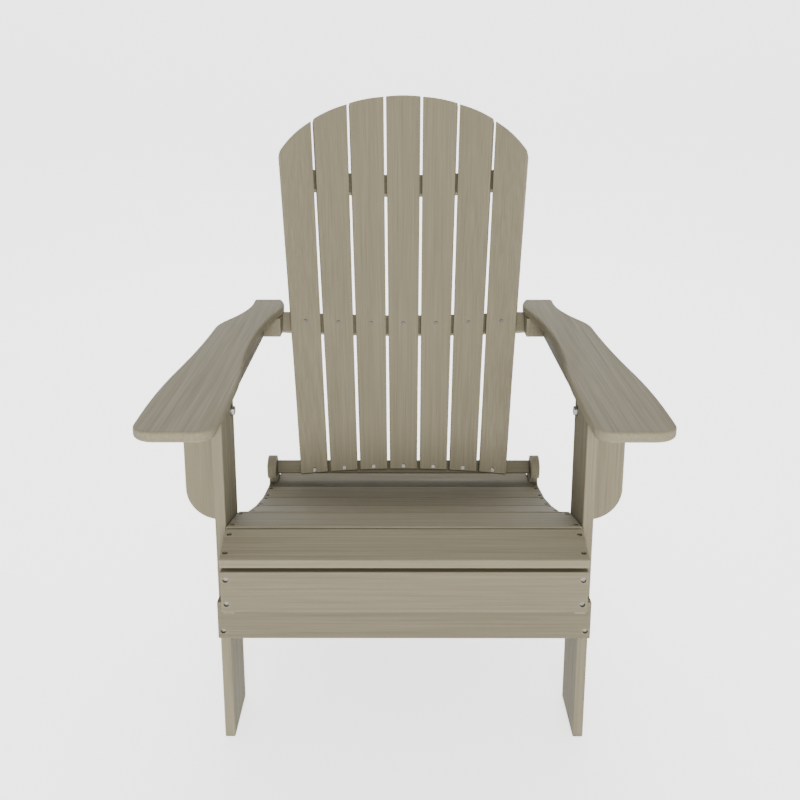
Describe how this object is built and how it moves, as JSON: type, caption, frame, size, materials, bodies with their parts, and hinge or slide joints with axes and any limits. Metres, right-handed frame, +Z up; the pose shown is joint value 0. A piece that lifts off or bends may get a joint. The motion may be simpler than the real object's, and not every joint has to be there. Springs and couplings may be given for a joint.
{
  "type": "adirondack chair",
  "caption": "Slatted garden chair with a fanned, reclined back, a contoured seat, broad flat arms and long sloping side boards that form the rear feet.",
  "frame": {"origin": "on the ground, under the middle of the chair's bounding box", "axes": "+X to the right as seen from the front, +Y from the front of the chair to its back, +Z up"},
  "size_m": [0.754, 0.9749, 0.9713],
  "materials": {
    "board": "satin, weathered, fine grain along each board",
    "screw": "dull, in a recess",
    "steel": "satin",
    "washer": "satin"
  },
  "bodies": {
    "root": {"apron_screws": "screw", "arm_block_left": "board", "arm_block_right": "board", "arm_block_screws": "screw", "arm_bolts": "steel", "arm_bracket_left": "board", "arm_bracket_right": "board", "arm_left": "board", "arm_nuts": "steel", "arm_rail_left": "board", "arm_rail_right": "board", "arm_right": "board", "arm_screws": "screw", "arm_washers": "washer", "back_lower_screws": "screw", "back_middle_screws": "screw", "back_rail_lower": "board", "back_rail_middle": "board", "back_rail_upper": "board", "back_slat_1": "board", "back_slat_2": "board", "back_slat_3": "board", "back_slat_4": "board", "back_slat_5": "board", "back_slat_6": "board", "back_slat_7": "board", "back_upper_screws": "screw", "cross_board_screws": "screw", "ear_bolts": "steel", "ear_washers": "washer", "front_leg_left": "board", "front_leg_right": "board", "leg_bolts": "steel", "leg_nuts": "steel", "leg_stretcher": "board", "leg_washers": "washer", "nose_screws": "screw", "rear_cross_board": "board", "seat_apron": "board", "seat_screws": "screw", "seat_side_left": "board", "seat_side_right": "board", "seat_slat_1": "board", "seat_slat_2": "board", "seat_slat_3": "board", "seat_slat_4": "board", "seat_slat_5": "board", "seat_slat_6": "board", "seat_slat_7": "board", "stretcher_screws": "screw"}
  },
  "joints": []
}
